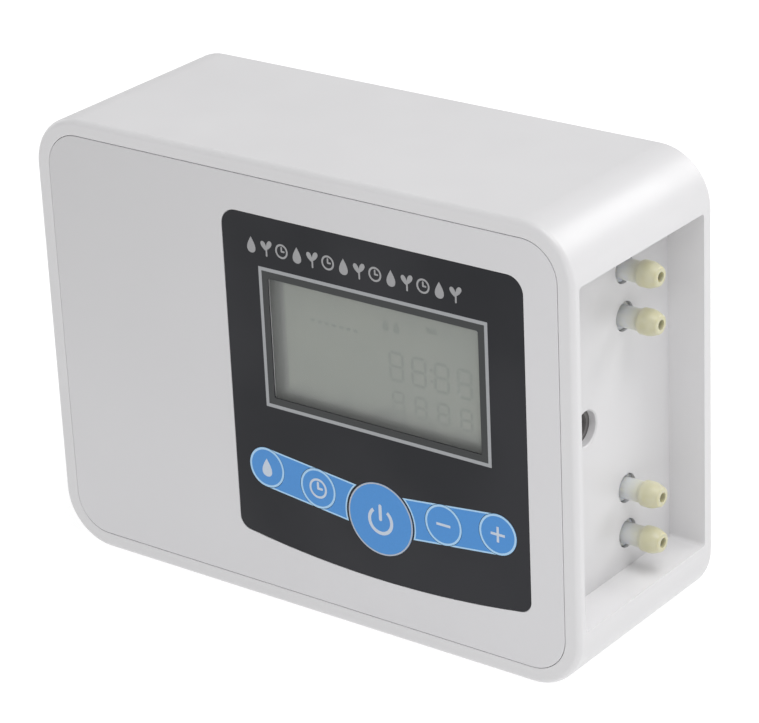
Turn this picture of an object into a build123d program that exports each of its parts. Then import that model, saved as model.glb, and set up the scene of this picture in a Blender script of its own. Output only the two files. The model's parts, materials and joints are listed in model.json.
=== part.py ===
from build123d import *
import math
import os

# A drip irrigation timer: a wall or table case with a display, five keys and two small
# diaphragm pumps whose barbed nozzles stand in a bay at the case's right end.
# Millimetres. +X is the case's right, +Y is its back, +Z is up.
# The origin is the middle of the case's footprint, on the surface it stands on.

# Case
WIDTH = 150.0
HEIGHT = 110.0
DEPTH = 55.0
CORNER_R = 13.0
WALL = 2.5
FRONT_EDGE_R = 1.3
BACK_EDGE_R = 0.6
FRONT = -DEPTH / 2
BACK = DEPTH / 2
RIGHT = WIDTH / 2
MID_Z = HEIGHT / 2
INNER_BACK = BACK - WALL

# Front cover, set into the case's front rim
RIM = 3.9
RIM_W = WIDTH - 2 * RIM
RIM_H = HEIGHT - 2 * RIM
RIM_LIP_R = 0.22
SEAM = 0.1
COVER_T = 2.0
LEDGE_T = 0.8
LEDGE_FRONT = FRONT + COVER_T - LEDGE_T
COVER_BACK = FRONT + COVER_T
COVER_EDGE_R = 0.15
PLUG_GAP = 0.3
OPENING_LEFT = -68.5
OPENING_INSET = 6.5

# Port bay in the right end
BAY_FLOOR = 65.5
BAY_WALL = 2.0
BAY_Y = (-25.1, 24.4)
BAY_Z = (15.0, 96.6)
BAY_CORNER_R = 0.8
PANEL_INNER = BAY_FLOOR - BAY_WALL
PORT_MID_Z = 55.6
PUMP_Y = 6.7
PUMP_RISE = 26.6
NOZZLE_PITCH = 11.3
NOZZLE_HOLE_R = 3.5
NOZZLE_COLLAR_R = 3.25
NOZZLE_NECK_R = 2.5
NOZZLE_BARB_R = 3.05
NOZZLE_TIP_R = 2.35
NOZZLE_BORE_R = 1.2
BARB_X = (70.7, 72.0)
NOZZLE_END = 74.95
JACK_Y = -9.2
JACK_HOLE_R = 4.1
JACK_BORE_R = 3.15
JACK_PIN_R = 1.0
JACK_DEPTH = 10.3

# Case screws and wall hanging
SCREW_XZ = [(x, MID_Z + side * 45.4) for x in (-64.5, 59.8) for side in (-1, 1)]
BOSS_R = 3.8
BOSS_FRONT = 4.5
SEAT_Y = 8.0
COUNTERBORE_R = 2.9
POST_R = 3.0
CASE_SCREW_R = 1.45
HANGER_SPACING = 104.0
HANGER_ENTRY_R = 4.0
HANGER_SLOT_R = 2.2
HANGER_Z = 57.0
HANGER_RISE = 7.5

# Graphic overlay and display
OVERLAY_X = 21.4
OVERLAY_W = 81.8
OVERLAY_TOP = 97.0
OVERLAY_SIDE_Z = 17.5
OVERLAY_MID_Z = 14.2
OVERLAY_POCKET = 0.3
OVERLAY_T = 0.25
OVERLAY_FRONT = FRONT + OVERLAY_POCKET - OVERLAY_T
OVERLAY_BACK = FRONT + OVERLAY_POCKET
DISPLAY_X = 21.6
DISPLAY_Z = 67.6
VIEW_W = 57.4
VIEW_H = 29.3
APERTURE_GROW = 2.4
LENS_GROW = 4.4
LENS_T = 0.8
GLASS_W = 65.4
GLASS_H = 36.6
GLASS_FRONT = COVER_BACK + 0.1
GLASS_BACK = GLASS_FRONT + 2.6
PEG_XZ = [(DISPLAY_X + x, DISPLAY_Z + z) for x in (-32.6, 32.6) for z in (-18.6, 18.6)]
PEG_R = 0.9
CONTACT_RISE = 17.2

# Keys: name, centre X, centre Z, radius
SMALL_KEY_R = 5.0
LARGE_KEY_R = 9.0
KEY_CLEARANCE = 0.1
KEYS = [
    ("manual", DISPLAY_X - 32.3, 34.5, SMALL_KEY_R),
    ("set", DISPLAY_X - 17.55, 32.9, SMALL_KEY_R),
    ("ok", DISPLAY_X, 29.7, LARGE_KEY_R),
    ("minus", DISPLAY_X + 17.55, 32.9, SMALL_KEY_R),
    ("plus", DISPLAY_X + 32.3, 34.5, SMALL_KEY_R),
]
FLANGE_GROW = 0.9
FLANGE_FRONT = COVER_BACK + 0.1
FLANGE_BACK = FLANGE_FRONT + 0.8
STEM_R = 1.8

# Control board
BOARD_T = 1.6
BOARD_BACK = JACK_Y - 6.5
BOARD_FRONT = BOARD_BACK - BOARD_T
BOARD_X = (-24.0, 62.4)
BOARD_Z = (16.4, 94.6)
BOARD_SCREW_XZ = [(x, z) for x in (-20.5, 59.2) for z in (20.5, 91.2)]
BOARD_POST_R = 2.6
BOARD_SCREW_R = 1.15
CELL_XZ = (29.0, PORT_MID_Z)
CELL_R = 10.0
CELL_T = 3.2
CELL_LIFT = 0.8
SWITCH_TOP = BOARD_FRONT - 3.5
PLUNGER_TOP = BOARD_FRONT - 5.0
PLUNGER_R = 1.75
PLUNGER_CLEARANCE = 0.2

# Pump, along X from the motor's rear to the head's face
PUMP_SIDE = 27.0
PUMP_CORNER_R = 3.0
HEAD_FACE = PANEL_INNER - 0.3
HEAD_BACK = HEAD_FACE - 8.0
VALVE_BACK = HEAD_BACK - 2.0
DIAPHRAGM_BACK = VALVE_BACK - 1.5
MOTOR_FACE = 36.0
FRAME_FLOOR = 2.0
CAVITY_X = MOTOR_FACE + FRAME_FLOOR
CAVITY_R = 11.6
MOTOR_REAR = 5.0
CAN_R = 12.2
CAN_WALL = 0.8
SHAFT_R = 1.0
RUNNING_GAP = 0.04
CAM_TOP = 43.6
WOBBLE_PIVOT_X = 52.5
WOBBLE_LEAN = 5.0
CUP_RADIUS = 4.0
CUP_RING = 6.4
CUP_BOTTOM = 47.9
ARM_X = (44.8, 46.2)
PUMP_SCREW_OFFSET = 10.6
PUMP_SCREW_R = 1.0
PUMP_SCREW_HOLE_R = 1.25
FACE_SCREW_OFFSET = 8.5
TERMINAL_OFFSET = 7.0
STRAP_X = (14.0, 24.0)
STRAP_R = (12.9, 14.1)
STRAP_SCREW_RISE = 16.8
EAR_FRONT = PUMP_Y + 2.1
EAR_BACK = PUMP_Y + 3.3
PUMPS = [("upper", PORT_MID_Z + PUMP_RISE), ("lower", PORT_MID_Z - PUMP_RISE)]


# ---------------------------------------------------------------- shape helpers


def slab(sketch, y0, y1):
    """A sketch drawn in X and Z, given thickness from y0 back to y1."""
    plane = Plane(origin=(0, y1, 0), x_dir=(1, 0, 0), z_dir=(0, -1, 0))
    return extrude(plane * sketch, amount=y1 - y0)


def bar(sketch, x0, x1):
    """A sketch drawn in Y and Z, given length from x0 to x1."""
    plane = Plane(origin=(x0, 0, 0), x_dir=(0, 1, 0), z_dir=(1, 0, 0))
    return extrude(plane * sketch, amount=x1 - x0)


def disc(radius, y0, y1, x=0.0, z=0.0):
    return slab(Pos(x, z) * Circle(radius), y0, y1)


def rod(radius, x0, x1, y=0.0, z=0.0):
    return bar(Pos(y, z) * Circle(radius), x0, x1)


def brick(x0, x1, y0, y1, z0, z1):
    middle = Pos((x0 + x1) / 2, (y0 + y1) / 2, (z0 + z1) / 2)
    return middle * Box(x1 - x0, y1 - y0, z1 - z0)


def centred_slab(width, height, radius, y0, y1, x=0.0, z=MID_Z):
    return slab(Pos(x, z) * RectangleRounded(width, height, radius), y0, y1)


def square_bar(side, radius, x0, x1):
    return bar(RectangleRounded(side, side, radius), x0, x1)


def at_pump(shape, z):
    return Pos(0, PUMP_Y, z) * shape


def ring_points(count, radius, first=90.0):
    """Points evenly spread on a circle, as (Y, Z) offsets."""
    angles = [math.radians(first + 360.0 * i / count) for i in range(count)]
    return [(radius * math.cos(a), radius * math.sin(a)) for a in angles]


def corner_offsets(offset):
    return [(y, z) for y in (-offset, offset) for z in (-offset, offset)]


# ---------------------------------------------------------------- case


def opening_slab(gap, y0, y1):
    """The hole behind the cover, or with a gap the cover's own plug that fits it."""
    left = OPENING_LEFT + gap
    right = PANEL_INNER - gap
    height = HEIGHT - 2 * (OPENING_INSET + gap)
    return centred_slab(right - left, height, OPENING_INSET - gap, y0, y1, (left + right) / 2)


def case_shell():
    shell = centred_slab(WIDTH, HEIGHT, CORNER_R, FRONT, BACK)
    shell = fillet(shell.edges().group_by(Axis.Y)[0], FRONT_EDGE_R)
    shell = fillet(shell.edges().group_by(Axis.Y)[-1], BACK_EDGE_R)
    inner_w = WIDTH - 2 * WALL
    inner_h = HEIGHT - 2 * WALL
    cavity = centred_slab(inner_w, inner_h, CORNER_R - WALL, COVER_BACK, INNER_BACK)
    cavity -= brick(PANEL_INNER, RIGHT, FRONT, BACK, BAY_Z[0] - BAY_WALL, BAY_Z[1] + BAY_WALL)
    rebate = centred_slab(RIM_W, RIM_H, CORNER_R - RIM, FRONT, LEDGE_FRONT)
    bay = brick(BAY_FLOOR, RIGHT + 1, *BAY_Y, *BAY_Z)
    bay = fillet(bay.edges().filter_by(Axis.X), BAY_CORNER_R)
    shell = shell - cavity - rebate - opening_slab(0, LEDGE_FRONT, COVER_BACK) - bay
    lip = shell.edges().group_by(Axis.Y)[0].filter_by(inside_rim)
    return fillet(lip, RIM_LIP_R)


def inside_rim(edge):
    """Whether an edge of the front face belongs to the cover's rebate."""
    box = edge.bounding_box()
    reach_x = max(abs(box.min.X), abs(box.max.X))
    reach_z = max(abs(box.min.Z - MID_Z), abs(box.max.Z - MID_Z))
    return reach_x < RIM_W / 2 + 0.01 and reach_z < RIM_H / 2 + 0.01


def case_screw_bosses():
    bosses = [disc(BOSS_R, BOSS_FRONT, INNER_BACK, x, z) for x, z in SCREW_XZ]
    webs = []
    for x, z in SCREW_XZ:
        wall_z = 1.0 if z < MID_Z else HEIGHT - 1.0
        low = min(z, wall_z)
        high = max(z, wall_z)
        webs.append(brick(x - 0.7, x + 0.7, BOSS_FRONT + 6, INNER_BACK, low, high))
    return bosses + webs


def case_screw_holes():
    bores = [disc(COUNTERBORE_R, SEAT_Y, BACK + 1, x, z) for x, z in SCREW_XZ]
    clearance = [disc(CASE_SCREW_R + 0.25, BOSS_FRONT - 1, SEAT_Y, x, z) for x, z in SCREW_XZ]
    return bores + clearance


def hanger_holes():
    """Two keyholes: a round entry for a screw's head, and a slot above it for its neck."""
    holes = []
    for x in (-HANGER_SPACING / 2, HANGER_SPACING / 2):
        holes.append(disc(HANGER_ENTRY_R, INNER_BACK - 1, BACK + 1, x, HANGER_Z))
        holes.append(disc(HANGER_SLOT_R, INNER_BACK - 1, BACK + 1, x, HANGER_Z + HANGER_RISE))
        holes.append(
            brick(
                x - HANGER_SLOT_R,
                x + HANGER_SLOT_R,
                INNER_BACK - 1,
                BACK + 1,
                HANGER_Z,
                HANGER_Z + HANGER_RISE,
            )
        )
    return holes


def motor_saddle(z):
    """A block on the back wall that a motor lies in, with a screw boss above and below."""
    saddle = brick(*STRAP_X, PUMP_Y + 7.0, INNER_BACK, z - 11, z + 11)
    saddle -= rod(STRAP_R[0], STRAP_X[0] - 1, STRAP_X[1] + 1, PUMP_Y, z)
    middle_x = sum(STRAP_X) / 2
    for side in (-1, 1):
        boss_z = z + side * STRAP_SCREW_RISE
        saddle += disc(3.2, EAR_BACK, INNER_BACK, middle_x, boss_z)
        saddle -= disc(1.2, EAR_BACK, EAR_BACK + 12, middle_x, boss_z)
        low = min(boss_z, z + side * 10.5)
        high = max(boss_z, z + side * 10.5)
        rib = brick(middle_x - 0.7, middle_x + 0.7, PUMP_Y + 12, INNER_BACK, low, high)
        saddle += rib - disc(2.5, EAR_BACK, INNER_BACK, middle_x, boss_z)
    return saddle


def panel_holes():
    holes = [rod(JACK_HOLE_R, PANEL_INNER - 1, BAY_FLOOR + 1, JACK_Y, PORT_MID_Z)]
    mouth = Pos(BAY_FLOOR, JACK_Y, PORT_MID_Z) * Rot(0, 90, 0)
    holes.append(mouth * Cone(JACK_HOLE_R, JACK_HOLE_R + 0.6, 0.6))
    for _, z in PUMPS:
        for side in (-1, 1):
            nozzle_z = z + side * NOZZLE_PITCH / 2
            holes.append(rod(NOZZLE_HOLE_R, PANEL_INNER - 1, BAY_FLOOR + 1, PUMP_Y, nozzle_z))
    return holes


def housing():
    solid = case_shell()
    for boss in case_screw_bosses():
        solid += boss
    for _, z in PUMPS:
        solid += motor_saddle(z)
    for hole in case_screw_holes() + hanger_holes() + panel_holes():
        solid -= hole
    return solid


def case_screws():
    """Pan-head screws that come in from the back, with a cross recess."""
    head_r = 2.7
    screws = []
    for x, z in SCREW_XZ:
        screw = disc(head_r, SEAT_Y, SEAT_Y + 1.9, x, z)
        screw = fillet(screw.edges().group_by(Axis.Y)[-1], 0.6)
        screw += disc(CASE_SCREW_R, -5.0, SEAT_Y, x, z)
        screw -= cross_recess(x, SEAT_Y + 1.9, z, 2.8, 1.0)
        screws.append(screw)
    return screws


def cross_recess(x, y, z, span, depth):
    half = span / 2
    thin = 0.35
    across = brick(x - half, x + half, y - depth, y + 0.1, z - thin, z + thin)
    return across + brick(x - thin, x + thin, y - depth, y + 0.1, z - half, z + half)


# ---------------------------------------------------------------- front panel


def overlay_outline(grow=0.0):
    """Straight top and sides, and a bottom edge that bows gently downwards."""
    half = OVERLAY_W / 2 + grow
    left = OVERLAY_X - half
    right = OVERLAY_X + half
    top = OVERLAY_TOP + grow
    side = OVERLAY_SIDE_Z - grow
    middle = OVERLAY_MID_Z - grow
    sides = Polyline((left, side), (left, top), (right, top), (right, side))
    bow = ThreePointArc((right, side), (OVERLAY_X, middle), (left, side))
    outline = make_face(sides + bow)
    outline = fillet(outline.vertices().group_by(Axis.Y)[-1], 4.0 + grow)
    return fillet(outline.vertices().group_by(Axis.Y)[0], 3.0 + grow)


def display_slab(grow, radius, y0, y1):
    return centred_slab(VIEW_W + grow, VIEW_H + grow, radius, y0, y1, DISPLAY_X, DISPLAY_Z)


def front_cover():
    inset = 2 * (RIM + SEAM)
    radius = CORNER_R - RIM - SEAM
    cover = centred_slab(WIDTH - inset, HEIGHT - inset, radius, FRONT, LEDGE_FRONT)
    cover = fillet(cover.edges().group_by(Axis.Y)[0], COVER_EDGE_R)
    cover += opening_slab(PLUG_GAP, LEDGE_FRONT, COVER_BACK)
    cover -= slab(overlay_outline(0.12), FRONT - 1, OVERLAY_BACK)
    cover -= display_slab(LENS_GROW + 0.2, 1.0, OVERLAY_BACK - 1, OVERLAY_BACK + LENS_T)
    cover -= display_slab(APERTURE_GROW, 0.5, OVERLAY_BACK, COVER_BACK + 1)
    for _, x, z, radius in KEYS:
        cover -= disc(radius + KEY_CLEARANCE, FRONT - 1, COVER_BACK + 1, x, z)
    for x, z in BOARD_SCREW_XZ:
        cover += disc(BOARD_POST_R, COVER_BACK, BOARD_FRONT, x, z)
        cover -= disc(BOARD_SCREW_R + 0.05, BOARD_FRONT - 7, BOARD_FRONT, x, z)
    for x, z in SCREW_XZ:
        cover += disc(POST_R, COVER_BACK, BOSS_FRONT, x, z)
        cover -= disc(CASE_SCREW_R + 0.03, BOSS_FRONT - 11, BOSS_FRONT, x, z)
    for x in (-58.0, -46.0, -34.0):
        cover += brick(x - 0.6, x + 0.6, COVER_BACK, COVER_BACK + 3, 16, 94)
    return cover


def graphic_overlay():
    film = slab(overlay_outline(), OVERLAY_FRONT, OVERLAY_BACK)
    film -= display_slab(0, 0.5, OVERLAY_FRONT - 1, OVERLAY_BACK + 1)
    for _, x, z, radius in KEYS:
        film -= disc(radius + KEY_CLEARANCE, OVERLAY_FRONT - 1, OVERLAY_BACK + 1, x, z)
    return film


def display_window():
    return display_slab(LENS_GROW, 0.9, OVERLAY_BACK, OVERLAY_BACK + LENS_T)


def key_cap(x, z, radius):
    """A flush disc in the cover's hole, kept in by a flange, with a stem to its switch."""
    cap = disc(radius, OVERLAY_FRONT, FLANGE_FRONT, x, z)
    cap = fillet(cap.edges().group_by(Axis.Y)[0], 0.12)
    cap += disc(radius + FLANGE_GROW, FLANGE_FRONT, FLANGE_BACK, x, z)
    return cap + disc(STEM_R, FLANGE_BACK, PLUNGER_TOP, x, z)


# ---------------------------------------------------------------- display stack


def display_block(width, height, y0, y1, dz=0.0):
    z = DISPLAY_Z + dz
    x0 = DISPLAY_X - width / 2
    return brick(x0, x0 + width, y0, y1, z - height / 2, z + height / 2)


def display_frame():
    """A tray that holds the glass over the board, on four pegs through it."""
    frame = centred_slab(68.8, 40.8, 1.0, GLASS_FRONT + 0.5, BOARD_FRONT, DISPLAY_X, DISPLAY_Z)
    frame -= display_block(GLASS_W + 0.3, GLASS_H + 0.3, GLASS_FRONT, GLASS_BACK)
    frame -= display_block(60.0, 30.8, GLASS_BACK, BOARD_FRONT)
    for side in (-1, 1):
        frame -= display_block(60.0, 1.8, GLASS_BACK, BOARD_FRONT, side * CONTACT_RISE)
    for x, z in PEG_XZ:
        frame += disc(PEG_R, BOARD_FRONT, BOARD_BACK + 0.5, x, z)
    return frame


def lcd_glass():
    """Two sheets of glass, the rear one taller where the contacts are, as one piece."""
    split = GLASS_FRONT + 1.3
    front_sheet = display_block(GLASS_W, GLASS_H - 5.0, GLASS_FRONT, split)
    return front_sheet + display_block(GLASS_W, GLASS_H, split, GLASS_BACK)


def backlight_panel():
    panel = display_block(59.6, 30.4, GLASS_BACK + 0.1, GLASS_BACK + 3.1)
    for x in (-27.0, 27.0):
        for z in (-12.0, 12.0):
            foot = disc(1.0, GLASS_BACK + 3.1, BOARD_FRONT, DISPLAY_X + x, DISPLAY_Z + z)
            panel += foot
    return panel


def zebra_strips():
    rises = (-CONTACT_RISE, CONTACT_RISE)
    return [display_block(59.4, 1.5, GLASS_BACK, BOARD_FRONT, rise) for rise in rises]


# ---------------------------------------------------------------- control board


def control_board():
    width = BOARD_X[1] - BOARD_X[0]
    height = BOARD_Z[1] - BOARD_Z[0]
    middle_x = sum(BOARD_X) / 2
    middle_z = sum(BOARD_Z) / 2
    board = centred_slab(width, height, 1.5, BOARD_FRONT, BOARD_BACK, middle_x, middle_z)
    for x, z in BOARD_SCREW_XZ:
        board -= disc(BOARD_SCREW_R + 0.25, BOARD_FRONT - 1, BOARD_BACK + 1, x, z)
    for x, z in PEG_XZ:
        board -= disc(PEG_R + 0.1, BOARD_FRONT - 1, BOARD_BACK + 1, x, z)
    return board


def board_screws():
    screws = []
    for x, z in BOARD_SCREW_XZ:
        screw = disc(2.2, BOARD_BACK, BOARD_BACK + 1.5, x, z)
        screw = fillet(screw.edges().group_by(Axis.Y)[-1], 0.5)
        screw += disc(BOARD_SCREW_R, BOARD_FRONT - 5, BOARD_BACK, x, z)
        screw -= cross_recess(x, BOARD_BACK + 1.5, z, 2.2, 0.8)
        screws.append(screw)
    return screws


def tact_switch(x, z):
    half = 3.0
    body = brick(x - half, x + half, SWITCH_TOP, BOARD_FRONT, z - half, z + half)
    body -= disc(PLUNGER_R + PLUNGER_CLEARANCE, SWITCH_TOP - 1, SWITCH_TOP + 1.8, x, z)
    for side in (-1, 1):
        for dz in (-2.2, 2.2):
            inner = x + side * half
            outer = x + side * (half + 1.0)
            low = min(inner, outer)
            high = max(inner, outer)
            body += brick(low, high, BOARD_FRONT - 0.3, BOARD_FRONT, z + dz - 0.35, z + dz + 0.35)
    return body


def switch_plunger(x, z):
    """The switch's own button: it stays against the key's stem and moves with it."""
    return disc(PLUNGER_R, PLUNGER_TOP, SWITCH_TOP + 0.9, x, z)


def board_chip(x, z, width, height, thick):
    half_w = width / 2
    half_h = height / 2
    return brick(x - half_w, x + half_w, BOARD_BACK, BOARD_BACK + thick, z - half_h, z + half_h)


def microcontroller():
    x, z = 8.0, 68.0
    body = board_chip(x, z, 10.0, 10.0, 1.5)
    for i in range(11):
        step = (i - 5) * 0.8
        body += board_chip(x + step, z, 0.3, 12.0, 0.25)
        body += board_chip(x, z + step, 12.0, 0.3, 0.25)
    return body


def clock_crystal():
    x, z = 8.0, 55.0
    return centred_slab(11.0, 4.6, 2.2, BOARD_BACK, BOARD_BACK + 3.5, x, z)


def buzzer():
    x, z = -13.0, 40.0
    body = disc(6.0, BOARD_BACK, BOARD_BACK + 9.0, x, z)
    body = fillet(body.edges().group_by(Axis.Y)[-1], 0.5)
    return body - disc(1.0, BOARD_BACK + 7.5, BOARD_BACK + 10, x, z)


def smoothing_capacitors():
    cans = []
    for z in (55.0, 67.0):
        can = disc(4.0, BOARD_BACK, BOARD_BACK + 11.5, -15.0, z)
        can = fillet(can.edges().group_by(Axis.Y)[-1], 0.6)
        groove = disc(4.5, BOARD_BACK + 1.4, BOARD_BACK + 2.2, -15.0, z)
        can -= groove - disc(3.6, BOARD_BACK + 1.4, BOARD_BACK + 2.2, -15.0, z)
        cans.append(can)
    return cans


def cell_holder():
    x, z = CELL_XZ
    holder = disc(CELL_R + 1.6, BOARD_BACK, BOARD_BACK + 4.6, x, z)
    holder -= disc(CELL_R + 0.1, BOARD_BACK + CELL_LIFT, BOARD_BACK + 5, x, z)
    return holder - brick(x - 5, x + 5, BOARD_BACK + 2.2, BOARD_BACK + 5, z, z + 13)


def backup_cell():
    x, z = CELL_XZ
    low = BOARD_BACK + CELL_LIFT
    cell = disc(CELL_R, low, low + CELL_T, x, z)
    return fillet(cell.edges().group_by(Axis.Y)[-1], 0.4)


def voltage_regulator():
    x, z = 45.0, 45.0
    body = board_chip(x, z, 6.6, 6.1, 2.3)
    body += board_chip(x, z + 3.6, 5.2, 3.0, 0.5)
    for step in (-2.3, 2.3):
        body += board_chip(x + step, z - 4.2, 0.7, 2.6, 0.5)
    return body


def pump_drivers():
    """A power transistor and a flyback diode for each pump."""
    parts = []
    for _, z in PUMPS:
        transistor = board_chip(-5.0, z, 3.6, 6.5, 1.7)
        transistor += board_chip(-2.8, z, 1.4, 3.0, 0.3)
        for step in (-2.3, 0.0, 2.3):
            transistor += board_chip(-7.2, z + step, 1.4, 0.7, 0.3)
        parts.append(transistor)
        diode = board_chip(-5.0, z - 8.0, 3.6, 4.6, 2.2)
        diode += board_chip(-5.0, z - 8.0, 1.6, 6.4, 0.4)
        parts.append(diode)
    return parts


def chip_parts():
    """Small surface-mount resistors and capacitors, in two rows by the microcontroller."""
    row = (-1.0, 2.0, 5.0, 11.0, 14.0)
    return [board_chip(x, z, 1.2, 2.0, 0.6) for z in (78.5, 60.0) for x in row]


def dc_jack():
    """The socket's moulded body and the centre pin pressed into it."""
    x0 = HEAD_FACE - 14.0
    x1 = HEAD_FACE + 0.1
    body = brick(x0, x1, BOARD_BACK, JACK_Y + 4.3, PORT_MID_Z - 4.5, PORT_MID_Z + 4.5)
    body = fillet(body.edges().filter_by(Axis.X).group_by(Axis.Y)[-1], 2.0)
    body -= rod(JACK_BORE_R, x1 - JACK_DEPTH, x1 + 1, JACK_Y, PORT_MID_Z)
    pin = rod(JACK_PIN_R, x1 - JACK_DEPTH, x1 - 0.9, JACK_Y, PORT_MID_Z)
    return [body, fillet(pin.edges().group_by(Axis.X)[-1], 0.5)]


def lead_connectors():
    shells = []
    for _, z in PUMPS:
        shell = brick(-17.9, -12.1, BOARD_BACK, BOARD_BACK + 8.0, z - 3.7, z + 3.7)
        shells.append(fillet(shell.edges().filter_by(Axis.Y), 0.5))
    return shells


def pump_lead(z, side):
    """One insulated wire from a board connector to a motor terminal."""
    start_z = z + side * 1.25
    tab_z = z + side * TERMINAL_OFFSET
    route = [
        (-15.0, BOARD_BACK + 8.0, start_z),
        (-15.0, BOARD_BACK + 16.0, start_z),
        (-9.0, PUMP_Y, tab_z),
        (-3.0, PUMP_Y, tab_z),
    ]
    path = FilletPolyline(route, radius=3.0)
    section = Plane(origin=path @ 0, z_dir=path % 0) * Circle(0.65)
    return sweep(section, path=path)


def pump_leads():
    return [pump_lead(z, side) for _, z in PUMPS for side in (-1, 1)]


# ---------------------------------------------------------------- pump motor


def motor_can():
    """A drawn steel can with a flat face, a bearing boss and an open rear."""
    can = rod(CAN_R, MOTOR_REAR, MOTOR_FACE)
    can = fillet(can.edges().group_by(Axis.X)[-1], 0.8)
    can -= rod(CAN_R - CAN_WALL, MOTOR_REAR - 1, MOTOR_FACE - 1)
    can += rod(3.1, MOTOR_FACE - 1, MOTOR_FACE + FRAME_FLOOR)
    can -= rod(2.4, MOTOR_FACE - 2, MOTOR_FACE + 3)
    for side in (-1, 1):
        can -= rod(1.0, MOTOR_FACE - 2, MOTOR_FACE + 1, 0, side * FACE_SCREW_OFFSET)
        can -= brick(28.0, 32.0, side * 9 - 3, side * 9 + 3, -3.5, 3.5)
    return can


def arc_band(r_in, r_out, half_angle, x0, x1, facing):
    """Part of a tube around X, centred on the -Y side (-1) or the +Y side (1)."""
    reach = r_out * 2
    spread = reach * math.tan(math.radians(half_angle))
    wedge = make_face(
        Polyline((0, 0), (facing * reach, spread), (facing * reach, -spread), (0, 0))
    )
    return bar((Circle(r_out) - Circle(r_in)) & wedge, x0, x1)


def motor_magnets(z):
    inner = CAN_R - CAN_WALL - 1.5
    outer = CAN_R - CAN_WALL - 0.05
    arcs = [arc_band(inner, outer, 62.0, 9.0, 27.0, facing) for facing in (-1, 1)]
    return [at_pump(arc, z) for arc in arcs]


def motor_end_cap():
    cap = rod(CAN_R, 3.0, MOTOR_REAR)
    cap = fillet(cap.edges().group_by(Axis.X)[0], 0.6)
    cap += bar(Circle(CAN_R - CAN_WALL - 0.05) - Circle(9.9), MOTOR_REAR, 8.0)
    cap += rod(4.0, 1.4, 3.0)
    cap -= rod(2.4, 0.0, MOTOR_REAR + 1)
    for side in (-1, 1):
        slot_z = side * TERMINAL_OFFSET
        cap -= brick(2.0, 6.0, -1.6, 1.6, slot_z - 0.5, slot_z + 0.5)
    return cap


def motor_brushes():
    """A terminal tab, a spring arm and a carbon block on each side of the commutator."""
    pieces = []
    for side in (-1, 1):
        tab_z = side * TERMINAL_OFFSET
        tab = brick(-3.0, 9.0, -1.2, 1.2, tab_z - 0.2, tab_z + 0.2)
        inner = side * 2.85
        outer = side * 6.8
        low = min(inner, outer)
        high = max(inner, outer)
        pieces.append(tab + brick(7.2, 9.0, -1.0, 1.0, low, high))
    return pieces


def motor_bushings():
    """Sintered sleeve bearings in the can's boss and in the end cap."""
    ring = Circle(2.4) - Circle(SHAFT_R + RUNNING_GAP)
    return [bar(ring, MOTOR_FACE - 2.0, MOTOR_FACE + 1.5), bar(ring, 1.6, 4.8)]


def motor_shaft():
    shaft = rod(SHAFT_R, 1.0, CAM_TOP - 0.3)
    return chamfer(shaft.edges().group_by(Axis.X)[0], 0.2)


def armature():
    """A three-pole core, a coil on each pole and a three-segment commutator."""
    core = bar(armature_section(), 11.0, 26.0)
    core -= rod(SHAFT_R, 10.0, 27.0)
    pieces = [core]
    for i in range(3):
        coil = brick(10.0, 27.0, -2.8, 2.8, 3.4, 7.2)
        coil = fillet(coil.edges().filter_by(Axis.Z), 1.2)
        pieces.append(Rot(120.0 * i, 0, 0) * coil - core)
    commutator = rod(2.75, 7.0, 9.4) - rod(SHAFT_R, 6.0, 10.0)
    for i in range(3):
        commutator -= Rot(120.0 * i + 60, 0, 0) * brick(7.8, 10.0, -0.15, 0.15, 2.0, 4.0)
    pieces.append(commutator)
    return pieces


def armature_section():
    section = Circle(3.2)
    for i in range(3):
        section += Rot(0, 0, 120.0 * i) * Pos(0, 4.5) * Rectangle(2.6, 9.0)
    shoes = Circle(9.2) - Circle(7.5)
    for i in range(3):
        shoes -= Rot(0, 0, 120.0 * i + 60) * Pos(0, 8.5) * Rectangle(2.2, 4.0)
    return section + shoes


# ---------------------------------------------------------------- pump mechanism


def eccentric():
    """A disc pressed on the shaft, with a leaning crank pin aimed at the wobble's centre."""
    disc_x = 38.8
    cam = rod(4.2, disc_x, CAM_TOP)
    cam = fillet(cam.edges().group_by(Axis.X)[0], 0.5)
    cam -= rod(SHAFT_R, disc_x - 1, CAM_TOP - 0.3)
    pin_length = 3.0
    lean = math.radians(WOBBLE_LEAN)
    reach = (WOBBLE_PIVOT_X - CAM_TOP) / math.cos(lean)
    start = reach - pin_length / 2 + 0.2
    pin = Pos(-start, 0, 0) * Rot(0, 90, 0) * Cylinder(0.75, pin_length)
    return cam + Pos(WOBBLE_PIVOT_X, 0, 0) * Rot(0, 0, -WOBBLE_LEAN) * pin


def pump_frame():
    """The square body between motor and diaphragm, hollow for the wobble plate."""
    frame = square_bar(PUMP_SIDE, PUMP_CORNER_R, MOTOR_FACE, DIAPHRAGM_BACK)
    frame -= rod(CAVITY_R, CAVITY_X, DIAPHRAGM_BACK + 1)
    frame -= rod(3.15, MOTOR_FACE - 1, CAVITY_X + 1)
    for side in (-1, 1):
        frame -= rod(1.0, MOTOR_FACE - 1, CAVITY_X + 1, 0, side * FACE_SCREW_OFFSET)
    for y, z in corner_offsets(PUMP_SCREW_OFFSET):
        frame -= rod(PUMP_SCREW_R + 0.05, 42.0, DIAPHRAGM_BACK + 1, y, z)
    return frame


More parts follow.
